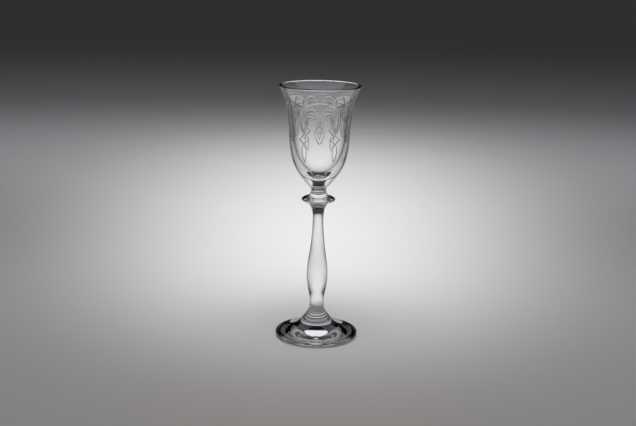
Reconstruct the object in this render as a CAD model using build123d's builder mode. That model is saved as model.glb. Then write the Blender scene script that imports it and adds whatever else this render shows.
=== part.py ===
from build123d import *
from math import sqrt
import os

# Cordial glass in clear glass: bell bowl, merese, flattened knop, baluster stem and conical foot.
# Each piece is a gather turned about the Z axis, and the pieces are welded hot at flat round faces.
# Millimetres, +Z up, origin on the table under the middle of the foot.

# Foot
FOOT_DIAMETER = 53.5
FOOT_HEIGHT = 20.2
FOOT_EDGE_HEIGHT = 2.3  # from the table to the widest circle, also the radius of the edge below it
FOOT_LIP_RADIUS = 1.1  # round of the edge above the widest circle
FOOT_SLOPE = 12.0  # degrees, rise of the disc just inside the edge
FOOT_SWEEP_DIAMETER = 28.0  # where the disc starts to sweep up
FOOT_SWEEP_HEIGHT = 7.7
FOOT_CONE_DIAMETER = 16.0  # halfway up the cone
FOOT_CONE_HEIGHT = 13.8
FOOT_CONE_LEAN = 9.0  # degrees from upright, the cone's side at the stem weld
FOOT_RING_WIDTH = 1.6  # flat ring that the glass rests on
FOOT_HOLLOW = 1.2  # depth of the dish inside the ring

# Baluster stem
STEM_LENGTH = 69.4
STEM_FOOT_DIAMETER = 9.4  # weld to the foot
STEM_ANKLE_DIAMETER = 9.0
STEM_ANKLE_HEIGHT = 3.6  # above the foot weld
STEM_SWELL_DIAMETER = 11.4
STEM_SWELL_HEIGHT = 11.0  # above the foot weld
STEM_BELLY_DIAMETER = 13.6
STEM_BELLY_HEIGHT = 22.2  # above the foot weld
STEM_TAPER_DIAMETER = 9.6
STEM_TAPER_DEPTH = 30.4  # below the knop weld
STEM_WAIST_DIAMETER = 6.9
STEM_WAIST_DEPTH = 12.2  # below the knop weld
STEM_NECK_DIAMETER = 8.0
STEM_NECK_DEPTH = 5.2  # below the knop weld

# Knop
KNOP_DIAMETER = 21.6
KNOP_HEIGHT = 4.2  # between its two welds
KNOP_WELD_DIAMETER = 13.6  # both welds

# Merese
MERESE_HEIGHT = 7.5
MERESE_WAIST_DIAMETER = 9.5
MERESE_WAIST_HEIGHT = 3.8  # above the knop weld

# Bowl, heights above its weld to the merese
BOWL_HEIGHT = 63.7
BOWL_WELD_DIAMETER = 14.2
BOWL_BASE_SPREAD = 40.0  # degrees from upright, outer wall where it leaves the weld
BOWL_SHOULDER_DIAMETER = 31.7
BOWL_SHOULDER_HEIGHT = 12.6
BOWL_BODY_DIAMETER = 37.8
BOWL_BODY_HEIGHT = 27.2
BOWL_THROAT_DIAMETER = 43.0
BOWL_THROAT_DEPTH = 11.9  # below the rim
BOWL_RIM_DIAMETER = 51.6
BOWL_RIM_FLARE = 27.0  # degrees from upright
BOWL_LIP = 1.2  # thickness of the fire-polished lip
BOWL_THROAT_WALL = 1.8  # walls are measured level
BOWL_BODY_WALL = 2.6
BOWL_SHOULDER_WALL = 4.8
BOWL_BASE = 5.9  # solid glass above the weld

# Levels of the welds
stem_bottom = FOOT_HEIGHT
knop_bottom = stem_bottom + STEM_LENGTH
merese_bottom = knop_bottom + KNOP_HEIGHT
bowl_bottom = merese_bottom + MERESE_HEIGHT
bowl_rim = bowl_bottom + BOWL_HEIGHT

INWARD = (-1, 0)
OUTWARD = (1, 0)
UPWARD = (0, 1)

os.makedirs("parts", exist_ok=True)

# Foot: dished underneath, with a rounded edge and a top that sweeps up to the stem
with BuildPart() as foot:
    with BuildSketch(Plane.XZ):
        with BuildLine():
            edge = FOOT_DIAMETER / 2
            ring_outer = edge - FOOT_EDGE_HEIGHT
            ring_inner = ring_outer - FOOT_RING_WIDTH
            weld = STEM_FOOT_DIAMETER / 2
            TangentArc((0, FOOT_HOLLOW), (ring_inner, 0), tangent=OUTWARD)
            Line((ring_inner, 0), (ring_outer, 0))
            lower_edge = TangentArc((ring_outer, 0), (edge, FOOT_EDGE_HEIGHT), tangent=OUTWARD)
            upper_edge = JernArc(lower_edge @ 1, UPWARD, FOOT_LIP_RADIUS, 90 - FOOT_SLOPE)
            Spline(
                upper_edge @ 1,
                (FOOT_SWEEP_DIAMETER / 2, FOOT_SWEEP_HEIGHT),
                (FOOT_CONE_DIAMETER / 2, FOOT_CONE_HEIGHT),
                (weld, FOOT_HEIGHT),
                tangents=[upper_edge % 1, Vector(UPWARD).rotate(Axis.Z, FOOT_CONE_LEAN)],
            )
            Polyline((weld, FOOT_HEIGHT), (0, FOOT_HEIGHT), (0, FOOT_HOLLOW))
        make_face()
    revolve(axis=Axis.Z)

# Baluster stem: an inverted drop of glass, drawn thin below the knop
with BuildPart() as stem:
    with BuildSketch(Plane.XZ):
        with BuildLine():
            Line((0, stem_bottom), (STEM_FOOT_DIAMETER / 2, stem_bottom))
            Spline(
                (STEM_FOOT_DIAMETER / 2, stem_bottom),
                (STEM_ANKLE_DIAMETER / 2, stem_bottom + STEM_ANKLE_HEIGHT),
                (STEM_SWELL_DIAMETER / 2, stem_bottom + STEM_SWELL_HEIGHT),
                (STEM_BELLY_DIAMETER / 2, stem_bottom + STEM_BELLY_HEIGHT),
                (STEM_TAPER_DIAMETER / 2, knop_bottom - STEM_TAPER_DEPTH),
                (STEM_WAIST_DIAMETER / 2, knop_bottom - STEM_WAIST_DEPTH),
                (STEM_NECK_DIAMETER / 2, knop_bottom - STEM_NECK_DEPTH),
                (KNOP_WELD_DIAMETER / 2, knop_bottom),
            )
            Polyline((KNOP_WELD_DIAMETER / 2, knop_bottom), (0, knop_bottom), (0, stem_bottom))
        make_face()
    revolve(axis=Axis.Z)

# Knop: a flattened ball, cut flat where the stem and the merese are welded on
with BuildPart() as knop:
    knop_radius = KNOP_DIAMETER / 2
    knop_half_axis = KNOP_HEIGHT / 2 / sqrt(1 - (KNOP_WELD_DIAMETER / KNOP_DIAMETER) ** 2)
    with BuildSketch(Plane.XZ):
        with Locations((0, knop_bottom + KNOP_HEIGHT / 2)):
            Ellipse(knop_radius, knop_half_axis)
            Rectangle(knop_radius, KNOP_HEIGHT, align=(Align.MIN, Align.CENTER), mode=Mode.INTERSECT)
    revolve(axis=Axis.Z)

# Merese: the short waisted collar that takes the bowl
with BuildPart() as merese:
    with BuildSketch(Plane.XZ):
        with BuildLine():
            Line((0, merese_bottom), (KNOP_WELD_DIAMETER / 2, merese_bottom))
            Spline(
                (KNOP_WELD_DIAMETER / 2, merese_bottom),
                (MERESE_WAIST_DIAMETER / 2, merese_bottom + MERESE_WAIST_HEIGHT),
                (BOWL_WELD_DIAMETER / 2, bowl_bottom),
            )
            Polyline((BOWL_WELD_DIAMETER / 2, bowl_bottom), (0, bowl_bottom), (0, merese_bottom))
        make_face()
    revolve(axis=Axis.Z)

# Bowl: a blown bell, solid at the base, with a wall that thins up to a flared and rounded lip
with BuildPart() as bowl:
    with BuildSketch(Plane.XZ):
        with BuildLine():
            shoulder = bowl_bottom + BOWL_SHOULDER_HEIGHT
            body = bowl_bottom + BOWL_BODY_HEIGHT
            throat = bowl_rim - BOWL_THROAT_DEPTH
            spread = Vector(UPWARD).rotate(Axis.Z, -BOWL_BASE_SPREAD)
            flare = Vector(UPWARD).rotate(Axis.Z, -BOWL_RIM_FLARE)
            across_lip = Vector(OUTWARD).rotate(Axis.Z, -BOWL_RIM_FLARE) * (BOWL_LIP / 2)
            lip_middle = Vector((BOWL_RIM_DIAMETER - BOWL_LIP) / 2, bowl_rim - BOWL_LIP / 2)
            Line((0, bowl_bottom), (BOWL_WELD_DIAMETER / 2, bowl_bottom))
            Spline(
                (BOWL_WELD_DIAMETER / 2, bowl_bottom),
                (BOWL_SHOULDER_DIAMETER / 2, shoulder),
                (BOWL_BODY_DIAMETER / 2, body),
                (BOWL_THROAT_DIAMETER / 2, throat),
                lip_middle + across_lip,
                tangents=[spread, flare],
            )
            TangentArc(lip_middle + across_lip, lip_middle - across_lip, tangent=flare)
            Spline(
                lip_middle - across_lip,
                (BOWL_THROAT_DIAMETER / 2 - BOWL_THROAT_WALL, throat),
                (BOWL_BODY_DIAMETER / 2 - BOWL_BODY_WALL, body),
                (BOWL_SHOULDER_DIAMETER / 2 - BOWL_SHOULDER_WALL, shoulder),
                (0, bowl_bottom + BOWL_BASE),
                tangents=[-flare, INWARD],
            )
            Line((0, bowl_bottom + BOWL_BASE), (0, bowl_bottom))
        make_face()
    revolve(axis=Axis.Z)

for name, piece in (
    ("foot", foot),
    ("baluster_stem", stem),
    ("knop", knop),
    ("merese", merese),
    ("bowl", bowl),
):
    piece.part.label = name
    export_step(piece.part, f"parts/{name}.step")
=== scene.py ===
import math

import bpy
import numpy as np
from mathutils import Euler, Matrix, Vector
from mathutils.geometry import interpolate_bezier


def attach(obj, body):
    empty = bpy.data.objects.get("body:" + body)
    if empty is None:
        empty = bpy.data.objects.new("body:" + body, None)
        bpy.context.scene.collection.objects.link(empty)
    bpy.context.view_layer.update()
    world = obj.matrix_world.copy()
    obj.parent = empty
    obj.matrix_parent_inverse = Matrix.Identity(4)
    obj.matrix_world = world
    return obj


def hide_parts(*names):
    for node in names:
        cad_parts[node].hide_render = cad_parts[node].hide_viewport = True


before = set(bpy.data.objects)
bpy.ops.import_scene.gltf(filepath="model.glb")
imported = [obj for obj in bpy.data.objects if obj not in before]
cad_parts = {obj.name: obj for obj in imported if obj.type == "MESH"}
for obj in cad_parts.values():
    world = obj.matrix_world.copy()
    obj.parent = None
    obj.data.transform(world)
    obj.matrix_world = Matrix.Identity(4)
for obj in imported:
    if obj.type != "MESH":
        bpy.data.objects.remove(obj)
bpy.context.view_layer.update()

bpy.ops.object.select_all(action="DESELECT")


# Foot: a gather of clear glass, opened out to a shallow cone while hot, its edge melted round.
# It stands on a narrow flat ring, and the glass inside the ring is dished clear of the table.
# The stem is welded to the flat top of the cone.
class Outline:
    """Half section of a turned piece, in millimetres out from the axis and up from the table."""

    def __init__(self, *start):
        self.knots = [[Vector(start)] * 3]

    def add(self, leaving, arriving, end):
        left, point, _ = self.knots[-1]
        self.knots[-1] = [left, point, Vector(leaving)]
        self.knots.append([Vector(arriving), Vector(end), Vector(end)])
        return self

    def line(self, end):
        here, end = self.knots[-1][1], Vector(end)
        return self.add(here.lerp(end, 1 / 3), here.lerp(end, 2 / 3), end)

    def oval(self, end, centre, across, up):
        here, end, centre = self.knots[-1][1], Vector(end), Vector(centre)
        a, b = (math.atan2((p.y - centre.y) / up, (p.x - centre.x) / across) for p in (here, end))
        reach = math.tan((b - a) / 4) * 4 / 3
        leaving = Vector((-across * math.sin(a), up * math.cos(a))) * reach
        arriving = Vector((-across * math.sin(b), up * math.cos(b))) * reach
        return self.add(here + leaving, end - arriving, end)

    def smooth(self, *points, start=None, finish=None):
        p = np.array([self.knots[-1][1], *points], float)
        step = np.linalg.norm(np.diff(p, axis=0), axis=1)
        run = np.concatenate([[0], np.cumsum(step)])
        few = min(len(p), 4)
        slopes = np.zeros_like(p)
        if start is None:
            start = np.polyfit(run[:few], p[:few], few - 1)[-2]
        if finish is None:
            finish = np.polyfit(run[-few:] - run[-1], p[-few:], few - 1)[-2]
        slopes[0], slopes[-1] = start, finish
        rows = np.eye(len(p))
        for i in range(1, len(p) - 1):
            a, b = 1 / step[i - 1], 1 / step[i]
            rows[i, i - 1:i + 2] = a, 2 * (a + b), b
            slopes[i] = 3 * ((p[i] - p[i - 1]) * a * a + (p[i + 1] - p[i]) * b * b)
        slopes = np.linalg.solve(rows, slopes)
        for i, s in enumerate(step):
            self.add(p[i] + slopes[i] * s / 3, p[i + 1] - slopes[i + 1] * s / 3, p[i + 1])
        return self

    def samples(self, count):
        pairs = zip(self.knots, self.knots[1:])
        parts = [interpolate_bezier(a[1], a[2], b[0], b[1], count + 1)[:-1] for a, b in pairs]
        return [q.to_2d() for part in parts for q in part] + [self.knots[-1][1]]


def turned(name, outline, steps):
    """Draws the outline as a curve and spins it round the axis into a closed piece."""
    bpy.ops.curve.primitive_bezier_curve_add()
    piece = bpy.context.object
    piece.name = name
    spline = piece.data.splines[0]
    spline.bezier_points.add(len(outline.knots) - len(spline.bezier_points))
    for knot, places in zip(spline.bezier_points, outline.knots):
        knot.handle_left_type = knot.handle_right_type = "FREE"
        knot.handle_left, knot.co, knot.handle_right = ((p.x / 1000, 0, p.y / 1000) for p in places)
    spline.resolution_u = piece.data.resolution_u = 20
    bpy.ops.object.convert(target="MESH")
    bpy.ops.object.mode_set(mode="EDIT")
    bpy.ops.mesh.select_all(action="SELECT")
    bpy.ops.mesh.spin(steps=steps, angle=2 * math.pi, center=(0, 0, 0), axis=(0, 0, 1))
    bpy.ops.mesh.select_all(action="SELECT")
    bpy.ops.mesh.remove_doubles(threshold=1e-6)
    bpy.ops.mesh.fill_holes(sides=0)
    bpy.ops.mesh.select_all(action="SELECT")
    bpy.ops.mesh.normals_make_consistent(inside=False)
    bpy.ops.object.mode_set(mode="OBJECT")
    bpy.ops.object.shade_smooth_by_angle(angle=math.radians(35))
    return piece


class Wire:
    """A socket in a material. Sums, differences and products of wires become Math nodes."""

    def __init__(self, tree, socket=None):
        self.tree, self.socket = tree, socket

    def node(self, kind, settings, sockets, out):
        made = self.tree.nodes.new(kind)
        for key, value in settings.items():
            setattr(made, key, value)
        for key, value in sockets.items():
            if isinstance(value, Wire):
                self.tree.links.new(value.socket, made.inputs[key])
            else:
                made.inputs[key].default_value = value
        return Wire(self.tree, made.outputs[out])

    def maths(self, operation, a, b):
        return self.node("ShaderNodeMath", {"operation": operation}, {0: a, 1: b}, 0)

    def __add__(self, other):
        return self.maths("ADD", self, other)

    __radd__ = __add__

    def __sub__(self, other):
        return self.maths("SUBTRACT", self, other)

    def __rsub__(self, other):
        return self.maths("SUBTRACT", other, self)

    def __mul__(self, other):
        return self.maths("MULTIPLY", self, other)

    __rmul__ = __mul__

    def to(self, shader, name):
        self.tree.links.new(self.socket, shader.inputs[name])


GLASS_BENDING = 1.52
# Strength of the painted shade that darkens the glass towards its edges.
PAINTED_EDGE_SHADE = 2.2


def clear_glass(name, pale, deep, drawn):
    """Fire-polished glass with the faint cords and ripples of hot working, drawn out on the axis.

    Its edges are painted darker than clear glass alone would show them: painted shade in the base
    colour, standing for the dark walls close by.
    """
    material = bpy.data.materials.new(name)
    material.use_nodes = True
    wire = Wire(material.node_tree)
    place = wire.node("ShaderNodeTexCoord", {}, {}, "Object")
    stretch = {"Vector": place, "Scale": (1, 1, 1 / drawn)}
    along = wire.node("ShaderNodeMapping", {}, stretch, "Vector")
    cords = wire.node("ShaderNodeTexNoise", {}, {"Vector": along, "Scale": 260, "Detail": 2}, 0)
    ripple = wire.node("ShaderNodeTexNoise", {}, {"Vector": along, "Scale": 70, "Detail": 1}, 0)
    haze = wire.node("ShaderNodeTexNoise", {}, {"Vector": place, "Scale": 900, "Detail": 3}, 0)
    glass = material.node_tree.nodes["Principled BSDF"]
    glass.inputs["Transmission Weight"].default_value = 1
    glass.inputs["IOR"].default_value = GLASS_BENDING
    streaks = {0: cords, 6: (*pale, 1), 7: (*deep, 1)}
    body = wire.node("ShaderNodeMix", {"data_type": "RGBA"}, streaks, 2)
    # Painted shade: the base colour goes to black where the surface is seen edge-on, in place of
    # dark walls close by.
    slant = wire.node("ShaderNodeLayerWeight", {}, {}, "Facing")
    edge = {0: PAINTED_EDGE_SHADE * slant * slant * slant, 6: body, 7: (0, 0, 0, 1)}
    wire.node("ShaderNodeMix", {"data_type": "RGBA"}, edge, 2).to(glass, "Base Color")
    (0.008 * haze).to(glass, "Roughness")
    height = ripple + 0.15 * cords
    bump = {"Strength": 0.05, "Distance": 0.0003, "Height": height}
    wire.node("ShaderNodeBump", {}, bump, "Normal").to(glass, "Normal")
    return material


def melted_weld(name):
    """Where two gathers are welded hot the glass is one body, so nothing shows."""
    material = bpy.data.materials.new(name)
    material.use_nodes = True
    material.node_tree.nodes["Principled BSDF"].inputs["Alpha"].default_value = 0
    return material


def finish_glass(piece, glass, node):
    piece.data.materials.append(glass)
    piece.data.materials.append(weld)
    for face in piece.data.polygons:
        face.material_index = 1 if len(face.vertices) > 4 else 0
    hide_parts(node)
    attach(piece, "root")
    bpy.ops.object.select_all(action="DESELECT")


weld = melted_weld("melted_weld")
FOOT_EDGE, FOOT_TOP, STEM_WELD = 26.75, 20.2, 4.7
RING_OUTER, RING_INNER, DISH = 24.45, 22.85, 1.2
LOWER_ROUND, UPPER_ROUND = 2.3, 1.1
slope = math.radians(12)
lean = math.radians(9)
edge_centre = (FOOT_EDGE - UPPER_ROUND, LOWER_ROUND)
edge_end = (
    edge_centre[0] + UPPER_ROUND * math.sin(slope),
    edge_centre[1] + UPPER_ROUND * math.cos(slope),
)
dish_radius = (RING_INNER ** 2 + DISH ** 2) / (2 * DISH)
section = Outline(0, DISH)
section.oval((RING_INNER, 0), (0, DISH - dish_radius), dish_radius, dish_radius)
section.line((RING_OUTER, 0))
section.oval((FOOT_EDGE, LOWER_ROUND), (RING_OUTER, LOWER_ROUND), LOWER_ROUND, LOWER_ROUND)
section.oval(edge_end, edge_centre, UPPER_ROUND, UPPER_ROUND)
section.smooth(
    (14, 7.7),
    (8, 13.8),
    (STEM_WELD, FOOT_TOP),
    start=(-math.cos(slope), math.sin(slope)),
    finish=(-math.sin(lean), math.cos(lean)),
)
foot = turned("foot_clear", section, 192)
foot_glass = clear_glass("foot_glass", (0.985, 0.99, 0.985), (0.97, 0.98, 0.974), 1)
finish_glass(foot, foot_glass, "foot")


# Stem: a solid inverted drop of glass, drawn thin below the knop while it hung from the iron.
# It swells to its belly a third of the way up and is welded to the foot and the knop.
STEM_TOP, KNOP_WELD = 89.6, 6.8
section = Outline(STEM_WELD, FOOT_TOP).smooth(
    (4.5, 23.8),
    (5.7, 31.2),
    (6.8, 42.4),
    (4.8, 59.2),
    (3.45, 77.4),
    (4, 84.4),
    (KNOP_WELD, STEM_TOP),
)
stem = turned("stem_clear", section, 128)
stem_glass = clear_glass("stem_glass", (0.985, 0.99, 0.985), (0.972, 0.981, 0.976), 6)
finish_glass(stem, stem_glass, "baluster_stem")


# Knop: a flattened ball of solid glass, pressed between the stem and the collar while soft.
# Both welds are flat and lie inside its round edge.
KNOP_TOP, KNOP_EDGE = 93.8, 10.8
knop_middle = (0, (STEM_TOP + KNOP_TOP) / 2)
knop_half_axis = (KNOP_TOP - STEM_TOP) / 2 / math.sqrt(1 - (KNOP_WELD / KNOP_EDGE) ** 2)
section = Outline(KNOP_WELD, STEM_TOP)
section.oval((KNOP_EDGE, knop_middle[1]), knop_middle, KNOP_EDGE, knop_half_axis)
section.oval((KNOP_WELD, KNOP_TOP), knop_middle, KNOP_EDGE, knop_half_axis)
knop = turned("knop_clear", section, 128)
knop_glass = clear_glass("knop_glass", (0.985, 0.99, 0.985), (0.97, 0.98, 0.974), 1)
finish_glass(knop, knop_glass, "knop")


# Merese: the short waisted collar of solid glass that takes the bowl.
# It is pinched in with the jacks between its two welds.
MERESE_TOP, BOWL_WELD = 101.3, 7.1
section = Outline(KNOP_WELD, KNOP_TOP).smooth((4.75, 97.6), (BOWL_WELD, MERESE_TOP))
merese = turned("merese_clear", section, 128)
merese_glass = clear_glass("merese_glass", (0.985, 0.99, 0.985), (0.97, 0.98, 0.974), 1)
finish_glass(merese, merese_glass, "merese")


# Bowl: a blown bell of clear glass, solid at the base, its wall thinning to a flared lip that is
# melted round. A band of interlaced strapwork is cut into the wall with a fine wheel and left matt.
RIM_HEIGHT, RIM_EDGE, LIP_ROUND = 165, 25.8, 0.6
spread = math.radians(40)
flare = math.radians(27)
lip_middle = Vector((RIM_EDGE - LIP_ROUND, RIM_HEIGHT - LIP_ROUND))
across_lip = Vector((math.cos(flare), -math.sin(flare))) * LIP_ROUND
section = Outline(BOWL_WELD, MERESE_TOP).smooth(
    (15.85, 113.9),
    (18.9, 128.5),
    (21.5, 153.1),
    lip_middle + across_lip,
    start=(math.sin(spread), math.cos(spread)),
    finish=(math.sin(flare), math.cos(flare)),
)
wall = section.samples(40)
section.oval(lip_middle - across_lip, lip_middle, LIP_ROUND, LIP_ROUND)
section.smooth(
    (19.7, 153.1),
    (16.3, 128.5),
    (11.05, 113.9),
    (0, 107.2),
    start=(-math.sin(flare), -math.cos(flare)),
    finish=(-1, 0),
)
bowl = turned("bowl_clear", section, 240)
bowl_glass = clear_glass("bowl_glass", (0.987, 0.991, 0.988), (0.976, 0.983, 0.979), 2)
finish_glass(bowl, bowl_glass, "bowl")

# The strapwork repeats six times round the bowl. Each strand is a run of points, in degrees from
# the middle of an arch and millimetres above the table, and has a mirrored twin.
arch = [
    (0, 156.3), (8, 156), (16, 155.3), (24, 154.1), (30, 152.6), (35.5, 149.9),
    (39, 146.6), (38.6, 142.6), (34.8, 138.6), (30, 135.7), (20, 132.8),
]
drop = [
    (20, 132.8), (25, 131.4), (30, 130), (34.2, 127.4), (35, 124.6), (33.3, 121.3), (30, 118.4),
]
inner_arch = [
    (30, 137.6), (33.2, 140.9), (34.4, 145.2), (33.4, 148.8), (30, 151.3), (24, 153.1),
    (17, 154.1), (12, 154), (7.5, 152.6), (2, 149.8), (-6, 146.9), (-13, 144.9),
]
pendant = [
    (-13, 144.9), (-8, 143.1), (0, 140.9), (6.2, 138.9), (8.5, 136.6), (6.6, 133.4), (0, 130.2),
]
inner_pendant = [
    (-9.2, 144.9), (-5, 143.3), (0, 142.2), (2.9, 140), (3.6, 137.2), (2.5, 134.9), (0, 133),
]
weave = [
    (25.6, 150.6), (20, 152), (14, 152.7), (10, 152.3),
    (5.5, 150.4), (0, 147.3), (-5, 145.8), (-9.2, 144.9),
]
mid_weave = [
    (23.5, 149), (18, 149.9), (12.5, 149.8), (8.5, 148.7),
    (4, 146.9), (0, 145.1), (-4, 143.5), (-6.5, 142.6),
]
low_weave = [(21.5, 147.6), (16, 147.9), (10.5, 146.9), (5, 144.7), (0, 142.9), (-3.5, 141.9)]
REPEATS = 6
CUT_RADIUS, CUT_LIFT = 0.42, 0.15
MM_PER_DEGREE = 0.36

cut_glass = bpy.data.materials.new("cut_glass")
cut_glass.use_nodes = True
wire = Wire(cut_glass.node_tree)
place = wire.node("ShaderNodeTexCoord", {}, {}, "Object")
grit = wire.node("ShaderNodeTexNoise", {}, {"Vector": place, "Scale": 5000, "Detail": 2}, 0)
frost = cut_glass.node_tree.nodes["Principled BSDF"]
frost.inputs["Base Color"].default_value = (0.93, 0.94, 0.94, 1)
frost.inputs["Transmission Weight"].default_value = 1
frost.inputs["IOR"].default_value = GLASS_BENDING
(0.12 + 0.2 * grit).to(frost, "Roughness")
pits = {"Strength": 0.4, "Distance": 0.00005, "Height": grit}
wire.node("ShaderNodeBump", {}, pits, "Normal").to(frost, "Normal")

wall_heights = [p.y for p in wall]
wall_radii = [p.x for p in wall]


def engrave(strands, side):
    """Cuts the strands into the wall, all round, with a round-edged wheel."""
    path = bpy.data.curves.new("wheel_path", "CURVE")
    path.dimensions = "3D"
    path.bevel_depth = CUT_RADIUS / 1000
    path.bevel_resolution = 2
    path.use_fill_caps = True
    for strand in strands:
        flat = [(a * side * MM_PER_DEGREE, z) for a, z in strand]
        line = Outline(*flat[0]).smooth(*flat[1:]).samples(8)
        for repeat in range(REPEATS):
            run = path.splines.new("POLY")
            run.points.add(len(line) - 1)
            for point, (across, height) in zip(run.points, line):
                turn = math.radians(across / MM_PER_DEGREE + 360 / REPEATS * repeat)
                out = (np.interp(height, wall_heights, wall_radii) + CUT_LIFT) / 1000
                point.co = (out * math.sin(turn), -out * math.cos(turn), height / 1000, 1)
    wheel = bpy.data.objects.new("wheel", path)
    bpy.context.collection.objects.link(wheel)
    bpy.context.view_layer.objects.active = wheel
    wheel.select_set(True)
    bpy.ops.object.convert(target="MESH")
    wheel.data.materials.append(cut_glass)
    bpy.ops.object.mode_set(mode="EDIT")
    bpy.ops.mesh.select_all(action="SELECT")
    bpy.ops.mesh.remove_doubles(threshold=1e-6)
    bpy.ops.mesh.normals_make_consistent(inside=False)
    bpy.ops.object.mode_set(mode="OBJECT")
    wheel.select_set(False)
    bowl.select_set(True)
    bpy.context.view_layer.objects.active = bowl
    cut = bowl.modifiers.new("cut", "BOOLEAN")
    cut.operation = "DIFFERENCE"
    cut.solver = "MANIFOLD"
    cut.object = wheel
    cut.material_mode = "TRANSFER"
    bpy.ops.object.modifier_apply(modifier="cut")
    bowl.select_set(False)
    bpy.data.objects.remove(wheel)


for side in (1, -1):
    engrave((arch, mid_weave), side)
    engrave((drop, weave, pendant), side)
    engrave((inner_arch, inner_pendant, low_weave), side)
bowl.select_set(True)
bpy.ops.object.shade_smooth_by_angle(angle=math.radians(35))
bpy.ops.object.select_all(action="DESELECT")


# Floor and room: a pale matt sheet that fades into a dim room. A band of white cloth hangs high
# up all round, which the glass shows and the camera doesn't.
bpy.ops.mesh.primitive_circle_add(vertices=96, radius=6, fill_type="NGON")
floor = bpy.context.object
floor.name = "floor"
paper = bpy.data.materials.new("pale_sheet")
paper.use_nodes = True
wire = Wire(paper.node_tree)
place = wire.node("ShaderNodeTexCoord", {}, {}, "Object")
away = wire.node("ShaderNodeVectorMath", {"operation": "LENGTH"}, {0: place}, "Value")
soft = {"interpolation_type": "SMOOTHSTEP"}
reach = {"Value": away, "From Min": 0.1, "From Max": 1.219}
fade = wire.node("ShaderNodeMapRange", soft, reach, "Result")
tooth = wire.node("ShaderNodeTexNoise", {}, {"Vector": place, "Scale": 700, "Detail": 3}, 0)
sheet = paper.node_tree.nodes["Principled BSDF"]
sheet.inputs["Roughness"].default_value = 0.9
shade = {0: tooth, 6: (0.74, 0.727, 0.715, 1), 7: (0.76, 0.747, 0.735, 1)}
wire.node("ShaderNodeMix", {"data_type": "RGBA"}, shade, 2).to(sheet, "Base Color")
clear = wire.node("ShaderNodeBsdfTransparent", {}, {}, 0)
both = {0: fade, 1: Wire(paper.node_tree, sheet.outputs[0]), 2: clear}
surface = paper.node_tree.nodes["Material Output"]
wire.node("ShaderNodeMixShader", {}, both, 0).to(surface, "Surface")
floor.data.materials.append(paper)
bpy.ops.object.select_all(action="DESELECT")

room = bpy.data.worlds.new("room")
bpy.context.scene.world = room
room.use_nodes = True
wire = Wire(room.node_tree)
place = wire.node("ShaderNodeTexCoord", {}, {}, "Generated")
height = wire.node("ShaderNodeSeparateXYZ", {}, {"Vector": place}, "Z")
low = {"Value": height, "From Min": -0.227, "From Max": -0.078, "To Min": 0.221, "To Max": 0.03}
walls = wire.node("ShaderNodeMapRange", soft, low, "Result")
high = {"Value": height, "From Min": 0, "From Max": 0.25, "To Min": 1, "To Max": 0.1}
ceiling = wire.node("ShaderNodeMapRange", soft, high, "Result")
CLOTH_BOTTOM, CLOTH_TOP, CLOTH_GLOW, FLOOR_GLOW = 0.53, 0.94, 0.95, 0.048
above = wire.maths("GREATER_THAN", height, CLOTH_BOTTOM)
below = wire.maths("LESS_THAN", height, CLOTH_TOP)
cloth = above * below
camera_ray = wire.node("ShaderNodeLightPath", {}, {}, "Is Camera Ray")
floor_ray = wire.node("ShaderNodeLightPath", {}, {}, "Is Diffuse Ray")
seen = walls * ceiling + CLOTH_GLOW * cloth * (1 - camera_ray)
backdrop = room.node_tree.nodes["Background"]
(seen * (1 - floor_ray) + FLOOR_GLOW * floor_ray).to(backdrop, "Strength")
backdrop.inputs["Color"].default_value = (0.93, 0.94, 1, 1)

# Lamps and camera: four soft oval lamps stand round the glass. The strongest is behind it, so that
# the clear glass shows against a bright floor, and the one in front is warm.
LAMP_OUT, LAMP_UP, LAMP_TILT = 0.292, 0.45, math.radians(19.7)
LAMP_WIDTH, LAMP_LENGTH, LAMP_SPREAD = 0.364, 0.838, math.radians(59.7)
cool, warm = (1, 1, 1), (1, 0.92, 0.84)
lamps = (
    ("back", 0, 0.92, cool),
    ("left", 90, 0.15, cool),
    ("front", 180, 0.15, warm),
    ("right", 270, 0.15, cool),
)
for name, way, watts, colour in lamps:
    turn = math.radians(way)
    there = (-LAMP_OUT * math.sin(turn), LAMP_OUT * math.cos(turn), LAMP_UP)
    bpy.ops.object.light_add(type="AREA", location=there, rotation=(LAMP_TILT, 0, turn))
    lamp = bpy.context.object
    lamp.name = name + "_lamp"
    lamp.data.shape = "ELLIPSE"
    lamp.data.size, lamp.data.size_y = LAMP_WIDTH, LAMP_LENGTH
    lamp.data.spread = LAMP_SPREAD
    lamp.data.energy = watts
    lamp.data.color = colour
    lamp.visible_camera = lamp.visible_glossy = lamp.visible_transmission = False

bpy.ops.object.camera_add(location=(-0.00011, -0.68, 0.2473))
camera = bpy.context.object
pitch = Euler((math.pi / 2 - 0.2379, 0, 0)).to_matrix()
roll = Matrix.Rotation(math.radians(1), 3, "Z")
camera.rotation_euler = (pitch @ roll).to_euler()
camera.data.sensor_width = 36
camera.data.lens = 61.53
camera.data.clip_start = 0.01
bpy.context.scene.camera = camera
bpy.ops.object.select_all(action="DESELECT")

bpy.context.scene.view_settings.view_transform = "Standard"
